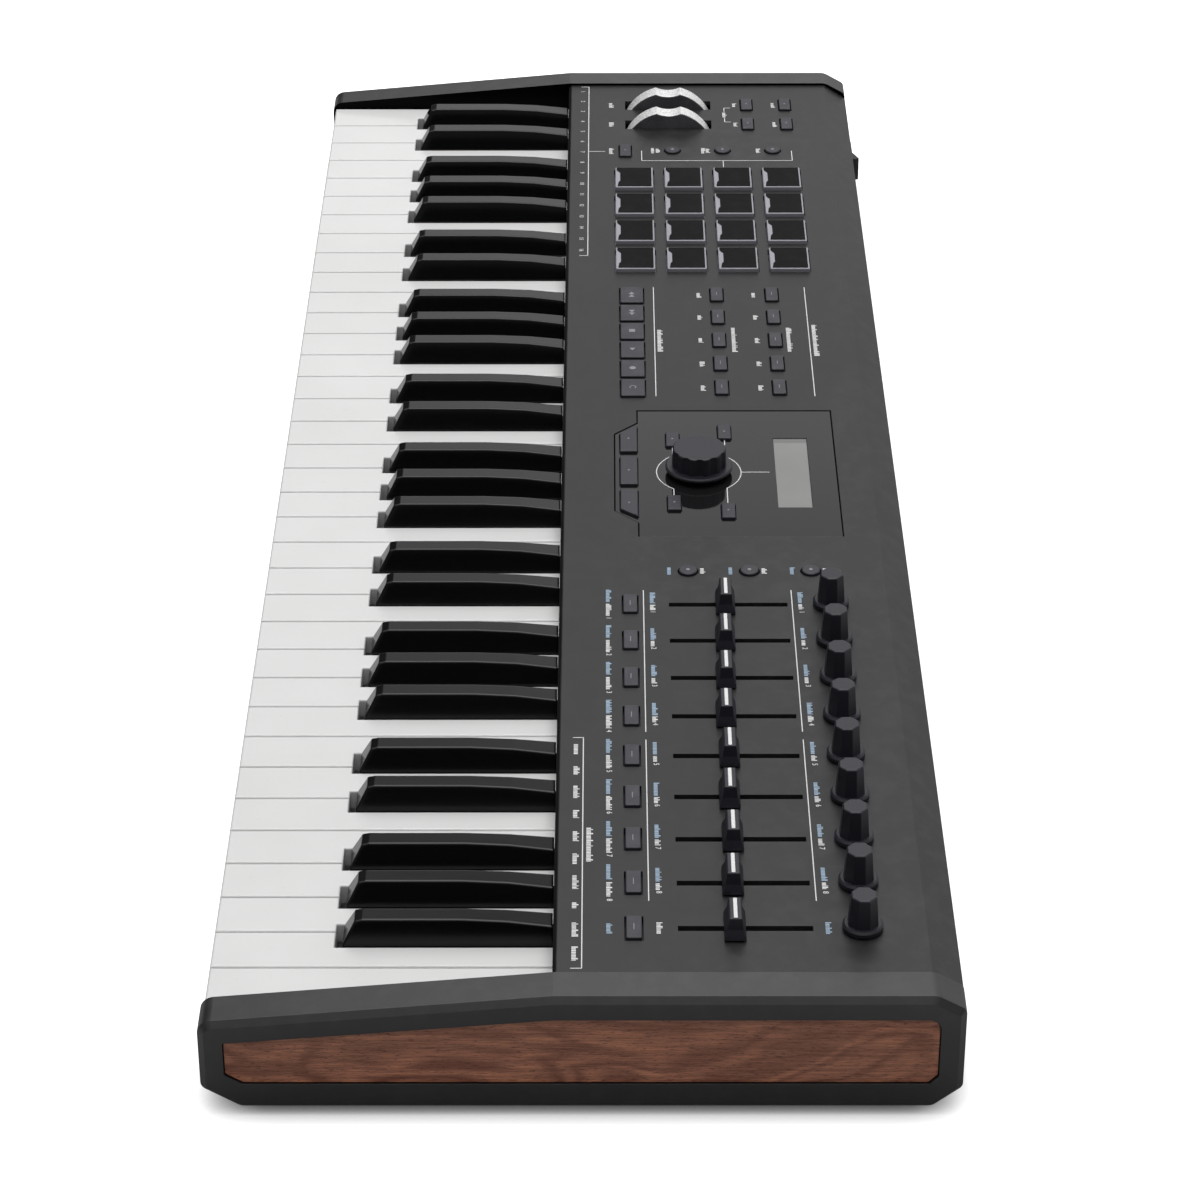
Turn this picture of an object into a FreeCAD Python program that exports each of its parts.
import FreeCAD, Part
import math
import os
import re

import Sketcher

# A 61-key controller keyboard: case, keybed, wheels, pads, knobs, faders and buttons.
# Frame: +X to the player's right, +Y away from the player, +Z up.
# The origin is on the floor, under the middle of the case. Millimetres.

os.makedirs("parts", exist_ok=True)
doc = FreeCAD.newDocument("ControllerKeyboard")
sheet = doc.addObject("Spreadsheet::Sheet", "Dimensions")

DIMENSIONS = {
    # case
    "case_wide": 882.0,
    "case_deep": 295.6,
    "case_top": 55.0,
    "foot_high": 3.0,
    "cheek_thick": 17.6,
    "cheek_rise": 1.3,
    "cheek_bend": -10.9,
    "cheek_nose": 43.9,
    "cheek_shoulder": 49.7,
    "rim_chamfer": 2.5,
    "wall": 2.5,
    "shell_play": 0.1,
    "lip_set": 2.0,
    "panel_front": -10.3,
    "chamfer_back": 11.8,
    "chamfer_down": 8.0,
    "belly_back": 13.5,
    "belly_up": 9.5,
    "front_wall_top": 14.0,
    "foot_radius": 9.0,
    "boss_radius": 4.0,
    "screw_back": 128.0,
    "screw_hole": 1.8,
    "screw_head": 3.2,
    "head_recess": 3.6,
    "head_deep": 1.2,
    "screw_core": 1.25,
    "cross_long": 3.6,
    "cross_wide": 0.8,
    "screw_pilot": 1.3,
    "panel_screw_tip": 18.0,
    "tray_screw_tip": 12.0,
    "vent_wide": 2.0,
    "vent_long": 40.0,
    "vent_pitch": 12.0,
    "gap": 0.4,
    "button_gap": 0.6,
    # wood inlay
    "inlay_deep": 2.4,
    "inlay_thick": 1.6,
    "inlay_front": -137.7,
    "inlay_back": 137.6,
    "inlay_bottom": 15.9,
    "inlay_top": 46.1,
    "inlay_bend": -10.9,
    "inlay_nose": 34.8,
    "inlay_round": 4.5,
    # keys
    "white_pitch": 23.5,
    "key_gap": 0.7,
    "white_front": -146.2,
    "white_top": 40.75,
    "white_lip": 25.0,
    "key_round": 0.9,
    "key_belly": 32.0,
    "key_wall": 2.2,
    "key_roof": 3.0,
    "notch_front": -98.0,
    "notch_half": 7.6,
    "black_tail_half": 4.6,
    "black_front": -94.8,
    "black_crest": -90.0,
    "black_fall": -47.8,
    "black_back": -11.7,
    "black_step": 41.3,
    "black_top": 51.3,
    "black_tail_top": 47.6,
    "black_wide": 13.7,
    "black_crown": 7.4,
    "outer_shift": 2.7,
    "pivot_back": 9.0,
    "pivot_up": 36.5,
    "tail_back": 13.5,
    "rod_radius": 1.5,
    "rod_play": 0.05,
    # keybed
    "tray_top": 7.0,
    "tray_front": -139.0,
    "tray_back": 15.0,
    "tray_lip_top": 21.5,
    "tray_half": 421.0,
    "tray_wall_top": 26.0,
    "post_thick": 1.8,
    "note_pitch": 13.7083,
    "spring_front": -46.0,
    "spring_root": -34.0,
    "spring_tip": -3.0,
    "spring_thick": 0.6,
    "finger_wide": 5.0,
    "strip_half": 418.0,
    "contact_y": -66.0,
    "contact_deep": 14.0,
    "dome_radius": 3.6,
    # wheels
    "wheel_radius": 26.0,
    "wheel_wide": 10.2,
    "wheel_back": 45.1,
    "wheel_up": 39.0,
    "pitch_wheel_x": -395.1,
    "mod_wheel_x": -368.6,
    "wheel_slot_wide": 11.7,
    "wheel_slot_long": 48.6,
    "axle_radius": 2.5,
    "thumb_radius": 15.9,
    "thumb_up": 13.5,
    "bracket_wide": 45.0,
    "bracket_deep": 30.0,
    # pads
    "pad_x": -307.5,
    "pad_y": 15.0,
    "pad_wide": 25.3,
    "pad_deep": 20.6,
    "pad_pitch_x": 33.2,
    "pad_pitch_y": 26.9,
    "pad_rise": 2.0,
    # buttons
    "button_wide": 14.8,
    "button_deep": 6.3,
    "button_rise": 1.1,
    "flange_top": 51.8,
    "flange_low": 50.4,
    "flange_out": 0.9,
    "stem_radius": 1.6,
    "corner_round": 0.7,
    "top_round": 0.5,
    "stem_low": 46.4,
    "function_y": 89.8,
    "function_pitch": 21.8,
    "fifth_button_x": -332.5,
    "fifth_button_y": 20.6,
    "round_radius": 4.2,
    "round_left_x": -333.4,
    "round_right_x": 121.3,
    "round_y": 46.8,
    "round_pitch": 27.85,
    "command_x": -155.5,
    "command_y": 66.8,
    "command_pitch_x": 25.3,
    "command_pitch_y": 28.4,
    "transport_x": -154.5,
    "transport_y": 23.0,
    "transport_wide": 17.3,
    "transport_deep": 11.8,
    "transport_pitch": 20.2,
    "select_y": 20.4,
    # faders and knobs
    "strip_x": 150.3,
    "strip_pitch": 30.4,
    "fader_y": 64.2,
    "fader_slot_wide": 3.3,
    "fader_slot_long": 53.0,
    "fader_cap_wide": 18.6,
    "fader_cap_deep": 8.7,
    "fader_crown_wide": 14.2,
    "fader_crown_deep": 5.1,
    "fader_cap_low": 55.8,
    "fader_stem_wide": 1.4,
    "fader_stem_deep": 4.0,
    "fader_stem_low": 47.0,
    "fader_cap_top": 65.0,
    "knob_y": 110.1,
    "knob_flange_radius": 8.05,
    "knob_low": 55.7,
    "knob_flange_top": 58.2,
    "knob_top": 71.5,
    "knob_across": 11.9,
    "shaft_radius": 3.0,
    "board_low": 38.0,
    "board_top": 39.6,
    "pot_wide": 9.0,
    "pot_long": 58.0,
    "pot_top": 51.5,
    "pot_slot_wide": 3.0,
    "pot_slot_long": 52.0,
    "pot_slot_low": 45.5,
    "can_wide": 12.0,
    "can_top": 46.5,
    "bush_radius": 3.7,
    "bush_top": 54.4,
    "switch_wide": 6.0,
    "switch_top": 45.0,
    "leg_radius": 2.5,
    # centre module
    "centre_x": 29.4,
    "centre_half": 60.6,
    "centre_front": 24.8,
    "centre_back": 119.1,
    "bump_front": 13.8,
    "bump_half": 36.9,
    "bump_root_half": 48.0,
    "plate_top": 54.7,
    "bush_hole": 4.2,
    "side_button_wide": 13.5,
    "side_button_deep": 6.3,
    "menu_rise": 1.3,
    "lens_low": 49.4,
    "lens_lip": 3.0,
    "main_knob_y": 53.7,
    "main_knob_radius": 12.95,
    "main_flange_radius": 15.85,
    "main_knob_low": 57.6,
    "main_flange_top": 59.2,
    "main_knob_top": 68.2,
    "scallop_out": 3.6,
    "scallop_radius": 4.6,
    "scallop_count": 12,
    "screen_left": -3.8,
    "screen_right": 62.7,
    "screen_front": 90.2,
    "screen_back": 106.1,
    "menu_front": 16.4,
    "menu_back": 24.6,
    # rear
    "rocker_x": -369.5,
    "rocker_up": 31.0,
    "rocker_opening": 19.3,
    "rocker_high": 13.0,
    "rocker_pin": 0.9,
    "bezel_wide": 22.4,
    "bezel_high": 16.6,
    "bezel_proud": 1.5,
    "rocker_reach": 9.35,
    "socket_up": 30.0,
    "socket_deep": 15.0,
    "usb_wide": 12.0,
    "usb_high": 11.0,
    "power_radius": 4.3,
    "din_radius": 8.5,
    "din_ring": 7.1,
    "din_core": 5.9,
    "jack_body": 14.0,
    "jack_radius": 4.7,
    "jack_nut": 7.0,
    "jack_bore": 3.25,
}

WORD = re.compile(r"\b(" + "|".join(DIMENSIONS) + r")\b")

for row, (alias, size) in enumerate(DIMENSIONS.items(), 1):
    sheet.set("A%d" % row, alias)
    sheet.set("B%d" % row, str(size))
    sheet.setAlias("B%d" % row, alias)
doc.recompute()


# ---------------------------------------------------------------- helpers

def bound(text):
    """An expression in sheet aliases, written the way the document wants it."""
    return WORD.sub(r"Dimensions.\1", str(text))


def value(text):
    """The same expression as a number."""
    return float(sheet.evalExpression(bound(text)))


def new_body(label):
    body = doc.addObject("PartDesign::Body", label)
    body.Label = label
    body.AllowCompound = True
    return body


def origin_feature(body, role):
    return next(feature for feature in body.Origin.OriginFeatures if feature.Role == role)


def sketch_on(body, role, offset="0"):
    """A sketch on one of the body's origin planes, moved along the plane's normal."""
    sketch = body.newObject("Sketcher::SketchObject", body.Label + "_sketch")
    sketch.AttachmentSupport = [(origin_feature(body, role), "")]
    sketch.MapMode = "FlatFace"
    sketch.setExpression("AttachmentOffset.Base.z", bound(offset))
    return sketch


def constrain(sketch, kind, *place_and_size):
    """Adds a dimension to the sketch and binds it to its expression."""
    *place, size = place_and_size
    index = sketch.addConstraint(Sketcher.Constraint(kind, *place, value(size)))
    sketch.setExpression("Constraints[%d]" % index, bound(size))


def draw_polygon(sketch, corners):
    """A closed outline whose corners are pairs of expressions."""
    spots = [FreeCAD.Vector(value(a), value(b), 0) for a, b in corners]
    first = sketch.GeometryCount
    total = len(spots)
    for n in range(total):
        sketch.addGeometry(Part.LineSegment(spots[n], spots[(n + 1) % total]), False)
    for n in range(total):
        following = first + (n + 1) % total
        sketch.addConstraint(Sketcher.Constraint("Coincident", first + n, 2, following, 1))
    for n, (across, along) in enumerate(corners):
        constrain(sketch, "DistanceX", first + n, 1, across)
        constrain(sketch, "DistanceY", first + n, 1, along)


def draw_rectangle(sketch, x, y, wide, deep):
    left, right = f"{x} - ({wide}) / 2", f"{x} + ({wide}) / 2"
    low, high = f"{y} - ({deep}) / 2", f"{y} + ({deep}) / 2"
    draw_polygon(sketch, [(left, low), (right, low), (right, high), (left, high)])


def draw_circle(sketch, x, y, radius):
    centre = FreeCAD.Vector(value(x), value(y), 0)
    circle = Part.Circle(centre, FreeCAD.Vector(0, 0, 1), value(radius))
    index = sketch.addGeometry(circle, False)
    constrain(sketch, "DistanceX", index, 3, x)
    constrain(sketch, "DistanceY", index, 3, y)
    constrain(sketch, "Radius", index, radius)


def pad(body, sketch, length, taper=0):
    feature = body.newObject("PartDesign::Pad", body.Label + "_pad")
    feature.Profile = sketch
    feature.setExpression("Length", bound(length))
    feature.TaperAngle = taper
    body.Tip = feature
    return feature


def pocket(body, sketch, length):
    """Cuts against the sketch's normal: down, from a horizontal sketch."""
    feature = body.newObject("PartDesign::Pocket", body.Label + "_pocket")
    feature.Profile = sketch
    feature.setExpression("Length", bound(length))
    body.Tip = feature
    return feature


def upright_pad(body, draw, low, high, taper=0):
    """Pads the outline that draw(sketch) makes, from height low to height high."""
    sketch = sketch_on(body, "XY_Plane", low)
    draw(sketch)
    return pad(body, sketch, f"{high} - ({low})", taper)


def upright_pocket(body, draw, low, high):
    sketch = sketch_on(body, "XY_Plane", high)
    draw(sketch)
    return pocket(body, sketch, f"{high} - ({low})")


def side_pad(body, draw, left, right):
    """Pads a side-on outline (Y, Z) from X left to X right."""
    sketch = sketch_on(body, "YZ_Plane", left)
    draw(sketch)
    return pad(body, sketch, f"{right} - ({left})")


def side_pocket(body, draw, left, right):
    sketch = sketch_on(body, "YZ_Plane", right)
    draw(sketch)
    return pocket(body, sketch, f"{right} - ({left})")


def depth_pad(body, draw, front, back):
    """Pads a front-on outline (X, Z) from Y front to Y back."""
    sketch = sketch_on(body, "XZ_Plane", f"-({back})")
    draw(sketch)
    return pad(body, sketch, f"{back} - ({front})")


def depth_pocket(body, draw, front, back):
    """Cuts a front-on outline from Y front to Y back."""
    sketch = sketch_on(body, "XZ_Plane", f"-({front})")
    draw(sketch)
    return pocket(body, sketch, f"{back} - ({front})")


def repeat(body, features, role, spacing, count):
    """A row of the features, or of the whole body so far when features is None."""
    doc.recompute()
    row = body.newObject("PartDesign::LinearPattern", body.Label + "_row")
    if features is None:
        row.TransformMode = "Whole shape"
    else:
        row.Originals = features
    row.Direction = (origin_feature(body, role), [""])
    row.Mode = "Spacing"
    row.setExpression("Offset", bound(spacing))
    row.Occurrences = count
    body.Tip = row
    return row


def repeat_all(body, across, columns, back, rows):
    """Repeats the whole body in columns along X and then in rows along Y."""
    repeat(body, None, "X_Axis", across, columns)
    repeat(body, None, "Y_Axis", back, rows)


def dress(body, kind, size, test):
    """A Fillet or Chamfer on every edge of the body's tip that passes the test."""
    doc.recompute()
    base = body.Tip
    names = ["Edge%d" % n for n, edge in enumerate(base.Shape.Edges, 1) if test(edge)]
    if not names:
        raise ValueError("no edge to dress on " + body.Label)
    feature = body.newObject("PartDesign::" + kind, body.Label + "_" + kind.lower())
    feature.Base = (base, names)
    feature.setExpression("Radius" if kind == "Fillet" else "Size", bound(size))
    body.Tip = feature
    return feature


def spans(edge):
    box = edge.BoundBox
    return box.XLength, box.YLength, box.ZLength


def level_edge(height):
    """Edges that lie in the horizontal plane at this height."""
    top = value(height)
    return lambda edge: abs(edge.BoundBox.ZMin - top) < 0.02 and abs(edge.BoundBox.ZMax - top) < 0.02


def upright_edge(low, high):
    """Straight vertical edges that run between the two heights."""
    bottom, top = value(low), value(high)

    def test(edge):
        x, y, z = spans(edge)
        box = edge.BoundBox
        return x < 0.5 and y < 0.5 and z > 0.5 and box.ZMin > bottom - 0.05 and box.ZMax < top + 0.05

    return test


def rectangle(x, y, wide, deep):
    return lambda sketch: draw_rectangle(sketch, x, y, wide, deep)


def polygon(corners):
    return lambda sketch: draw_polygon(sketch, corners)


def circle(x, y, radius):
    return lambda sketch: draw_circle(sketch, x, y, radius)


def grown(size, by="gap"):
    return f"{size} + 2 * {by}"


# ---------------------------------------------------------------- case

HALF_WIDE = "case_wide / 2"
CHEEK_INNER = "(case_wide / 2 - cheek_thick)"
SHELL_HALF = "(case_wide / 2 - cheek_thick - shell_play)"
FRONT = "-case_deep / 2"
BACK = "case_deep / 2"
PANEL_UNDER = "(case_top - wall)"
FLOOR_TOP = "(foot_high + wall)"
REAR_TOP = "(case_top - chamfer_down)"
BELLY_UP = "(foot_high + belly_up)"
SCREW_XS = ["-400", "-205", "0", "205", "400"]
REAR_SCREW_Y = "screw_back"
TRAY_SCREW_Y = "-screw_back"

# corners of the cheek's side view, each with the radius that rounds it, or 0 at the crisp bend
CHEEK_CORNERS = [
    (FRONT, BELLY_UP, 4),
    (f"{FRONT} + belly_back + 1.7", "foot_high", 5),
    (f"{BACK} - belly_back + 1.9", "foot_high", 4),
    (BACK, BELLY_UP, 3.5),
    (BACK, "cheek_shoulder", 3.5),
    (f"{BACK} - chamfer_back + 0.2", "case_top + cheek_rise", 8),
    ("cheek_bend", "case_top + cheek_rise", 0),
    (FRONT, "cheek_nose", 6),
]


def inlay_corners(margin):
    """Corners of the wood inlay's side view, grown all round by a margin, with their radii."""
    return [
        (f"inlay_front - {margin}", f"inlay_bottom + 4.3 - {margin}", 1.5),
        (f"inlay_front + 7 - {margin}", f"inlay_bottom - {margin}", 2),
        (f"inlay_back - 3.6 + {margin}", f"inlay_bottom - {margin}", 1.5),
        (f"inlay_back + {margin}", f"inlay_bottom + 3.6 - {margin}", 1.5),
        (f"inlay_back + {margin}", f"inlay_top + {margin}", f"inlay_round + {margin}"),
        (f"inlay_bend + 0.1 * {margin}", f"inlay_top + {margin}", 0),
        (f"inlay_front - {margin}", f"inlay_nose + {margin}", 0.8),
    ]


def outline_of(corners):
    return polygon([(across, up) for across, up, _ in corners])


def round_corners(body, corners, long):
    """Fillets the edges along X, of this length, that stand on the outline's corners."""
    for across, up, radius in corners:

        def on_corner(edge, y=value(across), z=value(up)):
            box = edge.BoundBox
            same_place = abs(box.YMin - y) < 0.02 and abs(box.ZMin - z) < 0.02
            return same_place and abs(box.XLength - value(long)) < 0.02

        if radius:
            dress(body, "Fillet", radius, on_corner)


def build_cheek(label, side):
    """An end cheek with its recess for the wood and a blind seat for the pivot rod."""
    body = new_body(label)
    if side > 0:
        left, right = CHEEK_INNER, HALF_WIDE
        recess = (f"{HALF_WIDE} - inlay_deep", HALF_WIDE)
        seat = (CHEEK_INNER, f"{CHEEK_INNER} + 6")
    else:
        left, right = f"-{HALF_WIDE}", f"-{CHEEK_INNER}"
        recess = (f"-{HALF_WIDE}", f"-{HALF_WIDE} + inlay_deep")
        seat = (f"-{CHEEK_INNER} - 6", f"-{CHEEK_INNER}")
    side_pad(body, outline_of(CHEEK_CORNERS), left, right)
    round_corners(body, CHEEK_CORNERS, "cheek_thick")
    outer = side * value(HALF_WIDE)

    def outer_rim(edge):
        return abs(edge.BoundBox.XMin - outer) < 0.02 and abs(edge.BoundBox.XMax - outer) < 0.02

    dress(body, "Chamfer", "rim_chamfer", outer_rim)
    side_pocket(body, outline_of(inlay_corners("gap")), *recess)
    round_corners(body, inlay_corners("gap"), "inlay_deep")
    side_pocket(body, circle("pivot_back", "pivot_up", "rod_radius + rod_play"), *seat)


def build_inlays():
    body = new_body("wood_inlays")
    floor_x = f"({HALF_WIDE} - inlay_deep)"
    side_pad(body, outline_of(inlay_corners("0")), floor_x, f"{floor_x} + inlay_thick")
    side_pad(body, outline_of(inlay_corners("0")), f"-{floor_x} - inlay_thick", f"-{floor_x}")
    round_corners(body, inlay_corners("0"), "inlay_thick")


def build_bottom_case():
    """A folded shell: front lip, floor and rear slope, with counterbored screw holes."""
    body = new_body("bottom_case")
    outline = [
        (f"{FRONT} + lip_set", "front_wall_top"),
        (f"{FRONT} + lip_set", BELLY_UP),
        (f"{FRONT} + lip_set + belly_back", "foot_high"),
        (f"{BACK} - belly_back", "foot_high"),
        (BACK, BELLY_UP),
        (f"{BACK} - wall", BELLY_UP),
        (f"{BACK} - belly_back - 0.8", FLOOR_TOP),
        (f"{FRONT} + lip_set + belly_back + 0.8", FLOOR_TOP),
        (f"{FRONT} + lip_set + wall", f"{BELLY_UP} + 1"),
        (f"{FRONT} + lip_set + wall", "front_wall_top"),
    ]
    side_pad(body, polygon(outline), f"-{SHELL_HALF}", SHELL_HALF)
    for screw_y in (REAR_SCREW_Y, TRAY_SCREW_Y):
        for x in SCREW_XS:
            upright_pocket(body, circle(x, screw_y, "screw_hole"), "foot_high - 1", f"{FLOOR_TOP} + 1")
            upright_pocket(body, circle(x, screw_y, "head_recess"), "foot_high - 1", "foot_high + head_deep")
    vents = upright_pocket(body, rectangle("-7.5 * vent_pitch", "60", "vent_wide", "vent_long"),
                           "foot_high - 1", f"{FLOOR_TOP} + 1")
    repeat(body, [vents], "X_Axis", "vent_pitch", 6)


def build_feet():
    body = new_body("rubber_feet")
    for x, y in (("0", "0"), ("-385", "-108"), ("385", "-108"), ("-385", "108"), ("385", "108")):
        upright_pad(body, circle(x, y, "foot_radius"), "0", "foot_high")
    dress(body, "Chamfer", "0.6", level_edge("0"))


def build_screws():
    """Pan-head screws from below: five into the panel bosses and five into the tray."""
    body = new_body("case_screws")
    for screw_y, tip in ((REAR_SCREW_Y, "panel_screw_tip"), (TRAY_SCREW_Y, "tray_screw_tip")):
        for x in SCREW_XS:
            upright_pad(body, circle(x, screw_y, "screw_head"), "foot_high - 0.6", "foot_high + head_deep")
            upright_pad(body, circle(x, screw_y, "screw_core"), "foot_high", tip)
            for wide, deep in (("cross_long", "cross_wide"), ("cross_wide", "cross_long")):
                upright_pocket(body, rectangle(x, screw_y, wide, deep), "foot_high - 1", "foot_high")


def centre_outline(margin):
    """The centre module seen from above, with its bump towards the player."""
    return [
        (f"centre_x - centre_half - {margin}", f"centre_back + {margin}"),
        (f"centre_x - centre_half - {margin}", f"centre_front - {margin}"),
        (f"centre_x - bump_root_half - 0.4 * {margin}", f"centre_front - {margin}"),
        (f"centre_x - bump_half - 0.4 * {margin}", f"bump_front - {margin}"),
        (f"centre_x + bump_half + 0.4 * {margin}", f"bump_front - {margin}"),
        (f"centre_x + bump_root_half + 0.4 * {margin}", f"centre_front - {margin}"),
        (f"centre_x + centre_half + {margin}", f"centre_front - {margin}"),
        (f"centre_x + centre_half + {margin}", f"centre_back + {margin}"),
    ]


def build_top_panel():
    """The control panel: a bent plate with an opening for every control."""
    body = new_body("top_panel")
    outline = [
        ("panel_front", "case_top"),
        (f"{BACK} - chamfer_back - 0.5", "case_top"),
        (f"{BACK} - 0.2", f"{REAR_TOP} + 0.1"),
        (f"{BACK} - 2.6", f"{REAR_TOP} + 0.1"),
        (f"{BACK} - chamfer_back - 1.5", PANEL_UNDER),
        ("panel_front + 2.2", PANEL_UNDER),
        ("panel_front + 2.2", "case_top - 4"),
        ("panel_front", "case_top - 4"),
    ]
    side_pad(body, polygon(outline), f"-{SHELL_HALF}", SHELL_HALF)

    def front_bend(edge):
        box = edge.BoundBox
        on_top = abs(box.ZMin - value("case_top")) < 0.02
        return on_top and box.XLength > 100 and abs(box.YMax - value("panel_front")) < 0.02

    dress(body, "Fillet", "0.8", front_bend)
    low, high = "case_top - wall - 1", "case_top + 1"

    def opening(draw, spacing="0", count=1):
        cut = upright_pocket(body, draw, low, high)
        if count > 1:
            repeat(body, [cut], "X_Axis", spacing, count)

    def slots(x, y, wide, deep, spacing="0", count=1):
        opening(rectangle(x, y, wide, deep), spacing, count)

    button = (grown("button_wide", "button_gap"), grown("button_deep", "button_gap"))
    wheel_spacing = "mod_wheel_x - pitch_wheel_x"
    slots("pitch_wheel_x", "wheel_back", "wheel_slot_wide", "wheel_slot_long", wheel_spacing, 2)
    for n in range(4):
        slots("pad_x + pad_wide / 2", f"pad_y + pad_deep / 2 + {n} * pad_pitch_y",
              grown("pad_wide", "button_gap"), grown("pad_deep", "button_gap"), "pad_pitch_x", 4)
    for n in range(2):
        slots("pitch_wheel_x", f"function_y + {n} * function_pitch", *button, wheel_spacing, 2)
        slots("command_x", f"command_y + {n} * command_pitch_y", *button, "command_pitch_x", 5)
    slots("fifth_button_x", "fifth_button_y", *button)
    for n in range(3):
        for x in ("round_left_x", "round_right_x"):
            opening(circle(x, f"round_y + {n} * round_pitch", "round_radius + button_gap"))
    transport = (grown("transport_wide", "button_gap"), grown("transport_deep", "button_gap"))
    slots("transport_x", "transport_y", *transport, "transport_pitch", 6)
    slots("strip_x", "select_y", *button, "strip_pitch", 9)
    slots("strip_x", "fader_y", "fader_slot_wide", "fader_slot_long", "strip_pitch", 9)
    opening(circle("strip_x", "knob_y", "bush_hole"), "strip_pitch", 9)
    opening(polygon(centre_outline("0.3")))
    for x in SCREW_XS:
        upright_pad(body, circle(x, REAR_SCREW_Y, "boss_radius"), FLOOR_TOP, f"{PANEL_UNDER} + 0.5")
        pilot = circle(x, REAR_SCREW_Y, "screw_pilot")
        upright_pocket(body, pilot, f"{FLOOR_TOP} - 1", "panel_screw_tip + 4")


def build_centre_plate():
    """The glossy module plate, with openings for the screen, the dial and its buttons."""
    body = new_body("centre_plate")
    upright_pad(body, polygon(centre_outline("0")), PANEL_UNDER, "plate_top")
    dress(body, "Chamfer", "0.35", level_edge("plate_top"))
    low, high = "case_top - wall - 1", "plate_top + 1"
    upright_pocket(body, circle("centre_x", "main_knob_y", "bush_hole"), low, high)
    screen = rectangle("(screen_left + screen_right) / 2", "(screen_front + screen_back) / 2",
                       grown("(screen_right - screen_left)", "0.15"),
                       grown("(screen_back - screen_front)", "0.15"))
    upright_pocket(body, screen, low, high)
    for corners in menu_outlines("gap"):
        upright_pocket(body, polygon(corners), low, high)
    for x, y in display_button_places():
        upright_pocket(body, rectangle(x, y, grown("side_button_wide"), grown("side_button_deep")), low, high)


def build_display_lens():
    """The clear window: a flange under the plate and a face inside its opening."""
    body = new_body("display_lens")
    middle = ("(screen_left + screen_right) / 2", "(screen_front + screen_back) / 2")
    wide, deep = "(screen_right - screen_left)", "(screen_back - screen_front)"
    lip = rectangle(*middle, grown(wide, "lens_lip"), grown(deep, "lens_lip"))
    upright_pad(body, lip, "lens_low", f"{PANEL_UNDER} - 0.1")
    upright_pad(body, rectangle(*middle, wide, deep), "lens_low", "plate_top - 0.3")


def display_button_places():
    """The four buttons that flank the dial."""
    places = (("30.5", "41.6"), ("37.9", "66.7"))
    return [(f"centre_x {sign} {out}", y) for sign in "-+" for out, y in places]


def menu_outlines(margin):
    """Three buttons in the bump; the outer two have slanted outer front corners."""
    front, back = f"menu_front - {margin}", f"menu_back + {margin}"
    middle = [("centre_x - 13.3", back), ("centre_x - 13.3", front),
              ("centre_x + 13.3", front), ("centre_x + 13.3", back)]
    middle = [(f"{x} {'-' if n < 2 else '+'} {margin}", y) for n, (x, y) in enumerate(middle)]
    right = [(f"centre_x + 18.4 - {margin}", front), (f"centre_x + 36.5 + {margin}", front),
             (f"centre_x + 43.4 + {margin}", back), (f"centre_x + 18.4 - {margin}", back)]
    left = [(x.replace("centre_x +", "centre_x -").replace(" - " + margin, " # ")
             .replace(" + " + margin, " - " + margin).replace(" # ", " + " + margin), y)
            for x, y in right]
    return [middle, right, left[::-1]]


# ---------------------------------------------------------------- keybed

def key_left(note):
    """Left boundary of a white key in the first octave."""
    return f"(-18 * white_pitch + {'cdefgab'.index(note)} * white_pitch)"


BLACK_CENTRES = {
    "cs": "(-17 * white_pitch - outer_shift)",
    "ds": "(-16 * white_pitch + outer_shift)",
    "fs": "(-14 * white_pitch - outer_shift)",
    "gs": "(-13 * white_pitch)",
    "as": "(-12 * white_pitch + outer_shift)",
}
NOTCHES = {
    "c": ("", "cs"),
    "d": ("cs", "ds"),
    "e": ("ds", ""),
    "f": ("", "fs"),
    "g": ("fs", "gs"),
    "a": ("gs", "as"),
    "b": ("as", ""),
}
OCTAVES = 5
KEY_COUNT = 12 * OCTAVES + 1


def add_white_key(body, left, notch_left, notch_right):
    """One moulded white key: hollow underside, notches, and a bore for the pivot rod."""
    start, end = f"({left} + key_gap / 2)", f"({left} + white_pitch - key_gap / 2)"
    profile = [
        ("white_front", "white_top"),
        ("white_front", "white_lip"),
        ("white_front + key_wall", "white_lip"),
        ("white_front + key_wall", "key_belly"),
        ("tail_back", "key_belly"),
        ("tail_back", "white_top"),
    ]
    side_pad(body, polygon(profile), start, end)
    narrow_start = f"({BLACK_CENTRES[notch_left]} + notch_half)" if notch_left else start
    narrow_end = f"({BLACK_CENTRES[notch_right]} - notch_half)" if notch_right else end
    low, high = "white_lip - 1", "white_top + 1"
    if notch_left:
        cut = [(f"{start} - 1", "notch_front"), (narrow_start, "notch_front"),
               (narrow_start, "tail_back + 1"), (f"{start} - 1", "tail_back + 1")]
        upright_pocket(body, polygon(cut), low, high)
    if notch_right:
        cut = [(narrow_end, "notch_front"), (f"{end} + 1", "notch_front"),
               (f"{end} + 1", "tail_back + 1"), (narrow_end, "tail_back + 1")]
        upright_pocket(body, polygon(cut), low, high)
    hollow = [
        (f"{start} + key_wall", "white_front + 2 * key_wall"),
        (f"{end} - key_wall", "white_front + 2 * key_wall"),
        (f"{end} - key_wall", "notch_front - key_wall"),
        (f"{narrow_end} - key_wall", "notch_front - key_wall"),
        (f"{narrow_end} - key_wall", "pivot_back - 6"),
        (f"{narrow_start} + key_wall", "pivot_back - 6"),
        (f"{narrow_start} + key_wall", "notch_front - key_wall"),
        (f"{start} + key_wall", "notch_front - key_wall"),
    ]
    if not notch_left:
        hollow = hollow[:6]
    if not notch_right:
        hollow = hollow[:2] + hollow[4:]
    upright_pocket(body, polygon(hollow), "key_belly - 1", "white_top - key_roof")
    side_pocket(body, circle("pivot_back", "pivot_up", "rod_radius + rod_play"),
                f"{start} - 1", f"{end} + 1")


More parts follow.
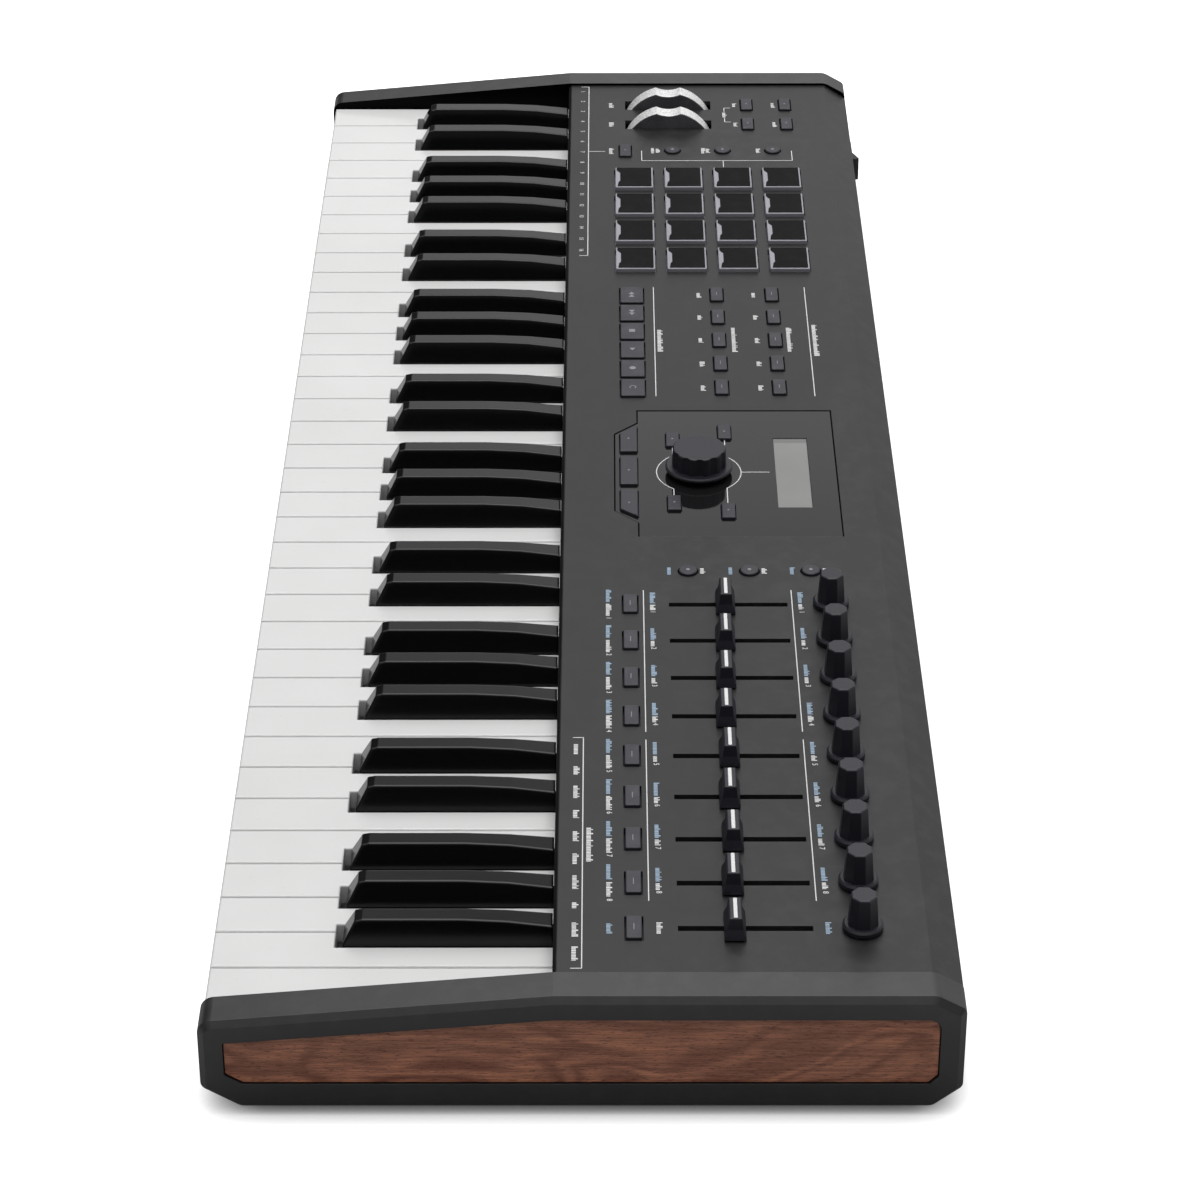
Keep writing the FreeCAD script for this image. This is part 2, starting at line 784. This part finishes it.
def round_white_key(body, left):
    """Softens the top edges that the player touches, on the key that starts at left."""
    top = level_edge("white_top")
    lowest, highest = value(left), value(f"{left} + white_pitch")

    def touched(edge):
        box = edge.BoundBox
        here = box.XMin > lowest and box.XMax < highest
        return top(edge) and here and box.YMin < value("tail_back") - 1

    dress(body, "Fillet", "key_round", touched)


def build_white_keys(note):
    body = new_body("keys_" + note)
    notch_left, notch_right = NOTCHES[note]
    add_white_key(body, key_left(note), notch_left, notch_right)
    round_white_key(body, key_left(note))
    repeat(body, None, "X_Axis", "7 * white_pitch", OCTAVES)
    if note == "c":
        last = "(17 * white_pitch)"
        add_white_key(body, last, "", "")
        round_white_key(body, last)


def build_black_keys(note):
    """One note's black keys: sloping front, crowned top and a slim tail on the rod."""
    body = new_body("keys_" + note.replace("s", "_sharp"))
    centre = BLACK_CENTRES[note]
    profile = [
        ("black_front", "key_belly"),
        ("black_front", "white_top + 0.6"),
        ("black_crest", "black_top - 0.7"),
        ("black_crest + 3", "black_top"),
        ("black_fall", "black_top"),
        ("black_fall + 18", "black_top - 0.8"),
        ("black_back", "black_tail_top + 0.9"),
        ("black_back", "black_step"),
        ("panel_front + 3", "black_step"),
        ("panel_front + 3", "white_top"),
        ("tail_back", "white_top"),
        ("tail_back", "key_belly"),
    ]
    side_pad(body, polygon(profile), f"{centre} - black_wide / 2", f"{centre} + black_wide / 2")
    for side in (-1, 1):
        flank = [
            (f"{centre} + {side} * black_wide / 2", "white_top"),
            (f"{centre} + {side} * black_crown / 2", "black_top + 1"),
            (f"{centre} + {side} * (black_wide / 2 + 1)", "black_top + 1"),
            (f"{centre} + {side} * (black_wide / 2 + 1)", "white_top"),
        ]
        depth_pocket(body, polygon(flank), "black_front - 1", "panel_front + 4")
    for side in (-1, 1):
        tail = [
            (f"{centre} + {side} * black_tail_half", "black_back + 4"),
            (f"{centre} + {side} * black_wide", "black_back + 4"),
            (f"{centre} + {side} * black_wide", "tail_back + 1"),
            (f"{centre} + {side} * black_tail_half", "tail_back + 1"),
        ]
        upright_pocket(body, polygon(tail), "key_belly - 1", "white_top + 1")
    hollow = rectangle(centre, "(black_front + black_back) / 2",
                       "black_wide - 2 * key_wall", "black_back - black_front - 4 * key_wall")
    upright_pocket(body, hollow, "key_belly - 1", "white_top - 1")
    side_pocket(body, circle("pivot_back", "pivot_up", "rod_radius + rod_play"),
                f"{centre} - black_wide", f"{centre} + black_wide")

    def crown(edge):
        box = edge.BoundBox
        lengthwise = box.YLength > 1 and box.XLength < 3 and box.YMin < value("black_back") - 1
        crosswise = box.XLength > 5 and box.ZMin > value("black_tail_top") + 1.2
        return box.ZMin > value("white_top") + 0.2 and (lengthwise or crosswise)

    dress(body, "Fillet", "key_round", crown)
    repeat(body, None, "X_Axis", "7 * white_pitch", OCTAVES)


def build_keybed():
    """The tray under the keys, with its front lip and the posts that carry the rod."""
    body = new_body("keybed_frame")
    outline = [
        ("tray_front", "tray_lip_top"),
        ("tray_front", f"{FLOOR_TOP} + 6.5"),
        ("tray_front + 9", FLOOR_TOP),
        ("tray_back", FLOOR_TOP),
        ("tray_back", "tray_wall_top"),
        ("tray_back - 1.5", "tray_wall_top"),
        ("tray_back - 1.5", "tray_top"),
        ("tray_front + 9.6", "tray_top"),
        ("tray_front + 1.5", f"{FLOOR_TOP} + 7.2"),
        ("tray_front + 1.5", "tray_lip_top"),
    ]
    side_pad(body, polygon(outline), "-tray_half", "tray_half")
    post_side = [
        ("pivot_back - 4", "tray_top - 0.5"),
        ("pivot_back + 4", "tray_top - 0.5"),
        ("pivot_back + 3", "pivot_up + 3"),
        ("pivot_back - 3", "pivot_up + 3"),
    ]
    posts = []
    for centre in BLACK_CENTRES.values():
        left = f"({centre} + black_tail_half + 0.6)"
        posts.append(side_pad(body, polygon(post_side), left, f"{left} + post_thick"))
        posts.append(side_pocket(body, circle("pivot_back", "pivot_up", "rod_radius + rod_play"),
                                 f"{left} - 0.2", f"{left} + post_thick + 0.2"))
    repeat(body, posts, "X_Axis", "7 * white_pitch", OCTAVES)
    for x in SCREW_XS:
        upright_pocket(body, circle(x, TRAY_SCREW_Y, "screw_pilot"), f"{FLOOR_TOP} - 1", "tray_top + 1")


def build_pivot_rod():
    rod = doc.addObject("Part::Cylinder", "key_pivot_rod")
    rod.Label = "key_pivot_rod"
    rod.setExpression("Radius", bound("rod_radius"))
    rod.setExpression("Height", bound(f"2 * {CHEEK_INNER} + 9"))
    turn = FreeCAD.Rotation(FreeCAD.Vector(0, 1, 0), 90)
    rod.Placement = FreeCAD.Placement(FreeCAD.Vector(0, 0, 0), turn)
    rod.setExpression("Placement.Base.x", bound(f"-{CHEEK_INNER} - 4.5"))
    rod.setExpression("Placement.Base.y", bound("pivot_back"))
    rod.setExpression("Placement.Base.z", bound("pivot_up"))


def build_key_springs():
    """A comb of spring-steel fingers, one under each key, on a strip along the tray."""
    body = new_body("key_springs")
    strip = [
        ("spring_front", "tray_top"),
        ("spring_root", "tray_top"),
        ("spring_root", "tray_top + spring_thick"),
        ("spring_front", "tray_top + spring_thick"),
    ]
    side_pad(body, polygon(strip), "-strip_half", "strip_half")
    finger = [
        ("spring_root - 2", "tray_top + 0.1"),
        ("spring_root", "tray_top + 0.1"),
        ("spring_tip - 3", "key_belly - 3.4"),
        ("spring_tip", "key_belly - 3.4"),
        ("spring_tip", "key_belly - 3.4 + spring_thick"),
        ("spring_tip - 3.4", "key_belly - 3.4 + spring_thick"),
    ]
    first = side_pad(body, polygon(finger), "-strip_half + 0.5", "-strip_half + 0.5 + finger_wide")
    repeat(body, [first], "X_Axis", "note_pitch", KEY_COUNT)


def build_contact_strip():
    """The silicone strip of contact domes that the keys close near the end of their dip."""
    body = new_body("contact_strip")
    strip = rectangle("0", "contact_y", "2 * strip_half", "contact_deep")
    upright_pad(body, strip, "tray_top", "tray_top + 3")
    dome = circle("-strip_half + 3", "contact_y", "dome_radius")
    first = upright_pad(body, dome, "tray_top + 3", "tray_top + 9", -12)
    repeat(body, [first], "X_Axis", "note_pitch", KEY_COUNT)


# ---------------------------------------------------------------- wheels

def build_wheel(label, x):
    """A performance wheel: rim with a finger notch, lightened sides and an axle bore."""
    body = new_body(label)
    left, right = f"{x} - wheel_wide / 2", f"{x} + wheel_wide / 2"
    side_pad(body, circle("wheel_back", "wheel_up", "wheel_radius"), left, right)
    side_pocket(body, circle("wheel_back", "wheel_up + wheel_radius + thumb_up", "thumb_radius"),
                f"{left} - 1", f"{right} + 1")

    def rim(edge):
        away = max(abs(v.Y - value("wheel_back")) + abs(v.Z - value("wheel_up")) for v in edge.Vertexes)
        return spans(edge)[0] < 0.01 and away > 15

    dress(body, "Fillet", "0.7", rim)
    side_pocket(body, circle("wheel_back", "wheel_up", "axle_radius + rod_play"),
                f"{left} - 1", f"{right} + 1")


def build_wheel_bracket():
    """A bracket with three cheeks and the axle that both wheels turn on."""
    body = new_body("wheel_bracket")
    base = rectangle("(pitch_wheel_x + mod_wheel_x) / 2", "wheel_back", "bracket_wide", "bracket_deep")
    upright_pad(body, base, FLOOR_TOP, "tray_top + 0.2")
    cheek = [
        ("wheel_back - 12", "tray_top"),
        ("wheel_back + 12", "tray_top"),
        ("wheel_back + 5", "wheel_up + 6"),
        ("wheel_back - 5", "wheel_up + 6"),
    ]
    spread = "(mod_wheel_x - pitch_wheel_x)"
    left, right = f"pitch_wheel_x - {spread} / 2", f"mod_wheel_x + {spread} / 2"
    wall = side_pad(body, polygon(cheek), f"{left} - 1", f"{left} + 1")
    repeat(body, [wall], "X_Axis", spread, 3)
    side_pad(body, circle("wheel_back", "wheel_up", "axle_radius"), left, right)


# ---------------------------------------------------------------- buttons and pads

def cap_features(body, draw, flange, rise):
    """One button: cap through the panel, retaining flange and stem below it."""
    top = f"case_top + {rise}"
    upright_pad(body, draw, "flange_low", top)
    dress(body, "Fillet", "corner_round", upright_edge("flange_low", top))
    dress(body, "Fillet", "top_round", level_edge(top))
    upright_pad(body, flange, "flange_low", "flange_top")


def stem(body, x, y):
    upright_pad(body, circle(x, y, "stem_radius"), "stem_low", "flange_low + 0.5")


def first_button(body, x, y, wide, deep, rise="button_rise"):
    cap_features(body, rectangle(x, y, wide, deep),
                 rectangle(x, y, grown(wide, "flange_out"), grown(deep, "flange_out")), rise)
    stem(body, x, y)


def build_pads():
    body = new_body("drum_pads")
    first_button(body, "pad_x + pad_wide / 2", "pad_y + pad_deep / 2", "pad_wide", "pad_deep", "pad_rise")
    repeat_all(body, "pad_pitch_x", 4, "pad_pitch_y", 4)


def build_function_buttons():
    body = new_body("function_buttons")
    first_button(body, "pitch_wheel_x", "function_y", "button_wide", "button_deep")
    repeat_all(body, "mod_wheel_x - pitch_wheel_x", 2, "function_pitch", 2)
    x, y = "fifth_button_x", "fifth_button_y"
    upright_pad(body, rectangle(x, y, "button_wide", "button_deep"), "flange_low", "case_top + button_rise")
    flange = rectangle(x, y, grown("button_wide", "flange_out"), grown("button_deep", "flange_out"))
    upright_pad(body, flange, "flange_low", "flange_top")
    stem(body, x, y)
    limit = value("fifth_button_x") - 12
    top = level_edge("case_top + button_rise")
    dress(body, "Fillet", "top_round", lambda edge: top(edge) and edge.BoundBox.XMin > limit)


def build_round_buttons():
    body = new_body("round_buttons")
    x, y = "round_left_x", "round_y"
    upright_pad(body, circle(x, y, "round_radius"), "flange_low", "case_top + button_rise")
    dress(body, "Fillet", "corner_round", level_edge("case_top + button_rise"))
    upright_pad(body, circle(x, y, "round_radius + flange_out"), "flange_low", "flange_top")
    stem(body, x, y)
    repeat_all(body, "round_right_x - round_left_x", 2, "round_pitch", 3)


def build_command_buttons():
    body = new_body("command_buttons")
    first_button(body, "command_x", "command_y", "button_wide", "button_deep")
    repeat_all(body, "command_pitch_x", 5, "command_pitch_y", 2)


def build_transport_buttons():
    body = new_body("transport_buttons")
    first_button(body, "transport_x", "transport_y", "transport_wide", "transport_deep")
    repeat(body, None, "X_Axis", "transport_pitch", 6)


def build_select_buttons():
    body = new_body("select_buttons")
    first_button(body, "strip_x", "select_y", "button_wide", "button_deep")
    repeat(body, None, "X_Axis", "strip_pitch", 9)


def build_menu_buttons():
    """The three buttons in the module's bump and the four that flank the dial."""
    body = new_body("menu_buttons")
    top = "plate_top + menu_rise"
    for corners in menu_outlines("0"):
        upright_pad(body, polygon(corners), "flange_low", top)
    for x, y in display_button_places():
        upright_pad(body, rectangle(x, y, "side_button_wide", "side_button_deep"), "flange_low", top)
    dress(body, "Fillet", "top_round", level_edge(top))
    for corners in menu_outlines("flange_out"):
        upright_pad(body, polygon(corners), "flange_low", "flange_top")
    flange = (grown("side_button_wide", "flange_out"), grown("side_button_deep", "flange_out"))
    for x, y in display_button_places():
        upright_pad(body, rectangle(x, y, *flange), "flange_low", "flange_top")
    for x in ("centre_x", "centre_x + 29", "centre_x - 29"):
        stem(body, x, "(menu_front + menu_back) / 2")
    for x, y in display_button_places():
        stem(body, x, y)


# ---------------------------------------------------------------- knobs and faders

def build_knob(number):
    """An eight-sided tapered knob on a round flange, with a blind bore for its shaft."""
    body = new_body("knob_%d" % number)
    x = f"(strip_x + {number - 1} * strip_pitch)"
    upright_pad(body, circle(x, "knob_y", "knob_flange_radius"), "knob_low", "knob_flange_top")
    dress(body, "Chamfer", "0.8", level_edge("knob_flange_top"))
    # corner radius of the octagon whose flats are knob_across apart
    reach = f"(knob_across / 2 / {math.cos(math.pi / 8):.5f})"
    corners = []
    for n in range(8):
        angle = math.pi / 8 + n * math.pi / 4
        corners.append((f"{x} + {reach} * ({math.cos(angle):.5f})",
                        f"knob_y + {reach} * ({math.sin(angle):.5f})"))
    upright_pad(body, polygon(corners), "knob_flange_top - 0.2", "knob_top", -4)
    dress(body, "Fillet", "0.8", level_edge("knob_top"))
    upright_pocket(body, circle(x, "knob_y", "shaft_radius + rod_play"), "knob_low - 1", "knob_top - 4")


def build_fader(number, rest_shift):
    """A waisted fader cap with its flat stem, at its rest place on the track."""
    body = new_body("fader_%d" % number)
    x = f"(strip_x + {number - 1} * strip_pitch)"
    y = f"(fader_y + {rest_shift})"
    height = "(fader_cap_top - fader_cap_low)"
    blade = rectangle(x, y, "fader_stem_wide", "fader_stem_deep")
    upright_pad(body, blade, "fader_stem_low", "fader_cap_low + 0.5")
    sections = []
    for share, wide, deep in (
        ("0", "fader_cap_wide", "fader_cap_deep"),
        ("0.16", "fader_cap_wide - 0.8", "fader_cap_deep - 0.5"),
        ("0.45", "fader_crown_wide + 1.6", "fader_crown_deep + 1"),
        ("1", "fader_crown_wide", "fader_crown_deep"),
    ):
        sketch = sketch_on(body, "XY_Plane", f"fader_cap_low + {share} * {height}")
        draw_rectangle(sketch, x, y, wide, deep)
        sections.append(sketch)
    loft = body.newObject("PartDesign::AdditiveLoft", body.Label + "_loft")
    loft.Profile = sections[0]
    loft.Sections = sections[1:]
    loft.Ruled = True
    body.Tip = loft
    dress(body, "Fillet", "0.7", level_edge("fader_cap_top"))


def build_slide_pots():
    """Nine slide potentiometers: long cans with an open slot for the fader's stem."""
    body = new_body("slide_pots")
    can = upright_pad(body, rectangle("strip_x", "fader_y", "pot_wide", "pot_long"), "board_top", "pot_top")
    groove = rectangle("strip_x", "fader_y", "pot_slot_wide", "pot_slot_long")
    slot = upright_pocket(body, groove, "pot_slot_low", "pot_top + 1")
    repeat(body, [can, slot], "X_Axis", "strip_pitch", 9)


def build_encoders():
    """The rotary encoders: can, threaded bush and shaft, one under each knob."""
    body = new_body("rotary_encoders")
    can = upright_pad(body, rectangle("strip_x", "knob_y", "can_wide", "can_wide"), "board_top", "can_top")
    bush = upright_pad(body, circle("strip_x", "knob_y", "bush_radius"), "can_top - 0.5", "bush_top")
    shaft = upright_pad(body, circle("strip_x", "knob_y", "shaft_radius"), "bush_top - 0.5", "knob_top - 4.5")
    repeat(body, [can, bush, shaft], "X_Axis", "strip_pitch", 9)
    x, y = "centre_x", "main_knob_y"
    upright_pad(body, rectangle(x, y, "can_wide + 2", "can_wide + 2"), "board_top", "can_top")
    upright_pad(body, circle(x, y, "bush_radius"), "can_top - 0.5", "bush_top")
    upright_pad(body, circle(x, y, "shaft_radius"), "bush_top - 0.5", "main_knob_top - 3")


def build_main_dial():
    """The large scalloped dial on its flange."""
    body = new_body("main_dial")
    x, y = "centre_x", "main_knob_y"
    upright_pad(body, circle(x, y, "main_flange_radius"), "main_knob_low", "main_flange_top")
    dress(body, "Chamfer", "0.6", level_edge("main_flange_top"))
    upright_pad(body, circle(x, y, "main_knob_radius"), "main_flange_top - 0.2", "main_knob_top", -2)
    dress(body, "Fillet", "0.9", level_edge("main_knob_top"))
    step = math.tau / DIMENSIONS["scallop_count"]
    cuts = []
    for n in range(DIMENSIONS["scallop_count"]):
        reach = "(main_knob_radius + scallop_out)"
        across, along = math.cos(n * step), math.sin(n * step)
        cuts.append((f"{x} + {reach} * ({across:.5f})", f"{y} + {reach} * ({along:.5f})"))

    def scallops(sketch):
        for spot in cuts:
            draw_circle(sketch, *spot, "scallop_radius")

    upright_pocket(body, scallops, "main_flange_top", "main_knob_top + 1")
    upright_pocket(body, circle(x, y, "shaft_radius + rod_play"), "main_knob_low - 1", "main_knob_top - 2.5")


def build_control_board():
    """The circuit board that carries the pots, encoders and switches, on short legs."""
    body = new_body("control_board")
    upright_pad(body, rectangle("36", "69", "760", "104"), "board_low", "board_top")
    for x in ("-300", "-110", "104", "300", "400"):
        for y in ("30", "108"):
            upright_pad(body, circle(x, y, "leg_radius"), FLOOR_TOP, "board_low + 0.5")
    for x, y, spacing, count in (
        ("command_x", "command_y", "command_pitch_x", 5),
        ("command_x", "command_y + command_pitch_y", "command_pitch_x", 5),
        ("transport_x", "transport_y", "transport_pitch", 6),
        ("strip_x", "select_y", "strip_pitch", 9),
    ):
        square = rectangle(x, y, "switch_wide", "switch_wide")
        switch = upright_pad(body, square, "board_top - 0.2", "switch_top")
        repeat(body, [switch], "X_Axis", spacing, count)


# ---------------------------------------------------------------- rear

SOCKET_UP = "socket_up"
DIN_XS = ("-200", "-165")
JACK_XS = ("-120", "-92", "-64")
USB_X = "-300"
POWER_X = "-262"


def build_rear_panel():
    """The rear strip, with its openings for the sockets and the rocker's raised bezel and pin seats."""
    body = new_body("rear_panel")
    front, back = f"{BACK} - wall - 1", f"{BACK} + 1"
    upright_pad(body, rectangle("0", f"{BACK} - wall / 2", f"2 * {SHELL_HALF}", "wall"),
                f"{BELLY_UP} + 0.1", REAR_TOP)
    bezel_front = f"{BACK} + bezel_proud"
    bezel = rectangle("rocker_x", "rocker_up", "bezel_wide", "bezel_high")
    depth_pad(body, bezel, f"{BACK} - 1", bezel_front)
    bezel_face = value(bezel_front)

    def bezel_rim(edge):
        return abs(edge.BoundBox.YMin - bezel_face) < 0.02 and abs(edge.BoundBox.YMax - bezel_face) < 0.02

    dress(body, "Fillet", "0.5", bezel_rim)
    depth_pocket(body, rectangle("rocker_x", "rocker_up", "rocker_opening", grown("rocker_high")),
                 front, f"{bezel_front} + 1")
    seat_half = "(rocker_high / 2 + 1.3)"
    upright_pocket(body, circle("rocker_x", BACK, "rocker_pin + rod_play"),
                   f"rocker_up - {seat_half}", f"rocker_up + {seat_half}")
    depth_pocket(body, rectangle(USB_X, SOCKET_UP, "usb_wide + 0.6", "usb_high + 0.6"), front, back)
    depth_pocket(body, circle(POWER_X, SOCKET_UP, "power_radius + 0.3"), front, back)
    for x in DIN_XS:
        depth_pocket(body, circle(x, SOCKET_UP, "din_radius + 0.3"), front, back)
    for x in JACK_XS:
        depth_pocket(body, circle(x, SOCKET_UP, "jack_radius + 0.3"), front, back)


def build_rear_sockets():
    """Socket bodies behind the rear strip: square data, round power, two DIN, three jacks."""
    body = new_body("rear_sockets")
    inside = f"{BACK} - socket_deep"
    depth_pad(body, rectangle(USB_X, SOCKET_UP, "usb_wide", "usb_high"), inside, BACK)
    depth_pocket(body, rectangle(USB_X, SOCKET_UP, "usb_wide - 3.6", "usb_high - 3.2"), f"{BACK} - 10", BACK)
    depth_pad(body, rectangle(USB_X, SOCKET_UP, "5.6", "3"), f"{BACK} - 11", f"{BACK} - 2")
    depth_pad(body, circle(POWER_X, SOCKET_UP, "power_radius"), inside, BACK)
    depth_pocket(body, circle(POWER_X, SOCKET_UP, "power_radius - 1.4"), f"{BACK} - 10", BACK)
    depth_pad(body, circle(POWER_X, SOCKET_UP, "1"), f"{BACK} - 11", f"{BACK} - 1.5")
    for x in DIN_XS:
        depth_pad(body, circle(x, SOCKET_UP, "din_radius"), inside, BACK)
        depth_pocket(body, circle(x, SOCKET_UP, "din_ring"), f"{BACK} - 6", BACK)
        depth_pad(body, circle(x, SOCKET_UP, "din_core"), f"{BACK} - 7", f"{BACK} - 1.2")
    for x in JACK_XS:
        depth_pad(body, rectangle(x, SOCKET_UP, "jack_body", "jack_body"), inside, f"{BACK} - wall - 0.4")
        depth_pad(body, circle(x, SOCKET_UP, "jack_radius"), f"{BACK} - wall - 1", f"{BACK} + 1.6")
        depth_pad(body, circle(x, SOCKET_UP, "jack_nut"), BACK, f"{BACK} + 1.6")
        depth_pocket(body, circle(x, SOCKET_UP, "jack_bore"), f"{BACK} - 14", f"{BACK} + 1.6")


def build_rocker():
    """The power rocker: a shallow vee on an upright pin, drawn with its outer end out."""
    body = new_body("power_rocker")
    reach = DIMENSIONS["rocker_reach"]
    tilt = math.radians(12)
    # tips, valley and end arcs, all within reach of the pin, so that the ends clear the bezel
    spots = [(reach, 20.3), (1.6, 90), (reach, 159.7)]
    spots += [(reach, angle) for angle in (172, 184, 196)]
    spots += [(reach - 0.75, angle) for angle in (222, 318)]
    spots += [(reach, angle) for angle in (344, 356, 8)]
    corners = []
    for away, angle in spots:
        turned = math.radians(angle) + tilt
        across, along = away * math.cos(turned), away * math.sin(turned)
        corners.append((f"rocker_x + ({across:.4f})", f"{BACK} + ({along:.4f})"))
    upright_pad(body, polygon(corners), "rocker_up - rocker_high / 2", "rocker_up + rocker_high / 2")
    pin_half = "(rocker_high / 2 + 1.2)"
    upright_pad(body, circle("rocker_x", BACK, "rocker_pin"),
                f"rocker_up - {pin_half}", f"rocker_up + {pin_half}")


# ---------------------------------------------------------------- assembly

FADER_REST = (-1.3, -2.1, -2.7, -3.5, -2.9, -3.7, -3.3, -4.2, -4.2)

build_bottom_case()
build_top_panel()
build_rear_panel()
build_cheek("left_cheek", -1)
build_cheek("right_cheek", 1)
build_inlays()
build_feet()
build_screws()
build_centre_plate()
build_display_lens()
for white_note in NOTCHES:
    build_white_keys(white_note)
for black_note in BLACK_CENTRES:
    build_black_keys(black_note)
build_keybed()
build_pivot_rod()
build_key_springs()
build_contact_strip()
build_wheel("pitch_wheel", "pitch_wheel_x")
build_wheel("mod_wheel", "mod_wheel_x")
build_wheel_bracket()
build_pads()
build_function_buttons()
build_round_buttons()
build_command_buttons()
build_transport_buttons()
build_select_buttons()
build_menu_buttons()
for strip_number, shift in enumerate(FADER_REST, 1):
    build_knob(strip_number)
    build_fader(strip_number, shift)
build_slide_pots()
build_encoders()
build_main_dial()
build_control_board()
build_rear_sockets()
build_rocker()

doc.recompute()
sub_parts = [item for item in doc.Objects if item.isDerivedFrom("PartDesign::Body")]
sub_parts += [item for item in doc.Objects if item.TypeId == "Part::Cylinder"]
failed = [item.Name for item in doc.Objects if {"Invalid", "Error"} & set(item.State)]
failed += [item.Label for item in sub_parts if item.Shape.isNull() or not item.Shape.isValid()]
if failed:
    raise RuntimeError("failed: " + ", ".join(failed))
for item in sub_parts:
    item.Shape.exportStep("parts/" + item.Label + ".step")
print(len(sub_parts), "sub-parts,", sum(len(item.Shape.Solids) for item in sub_parts), "solids")
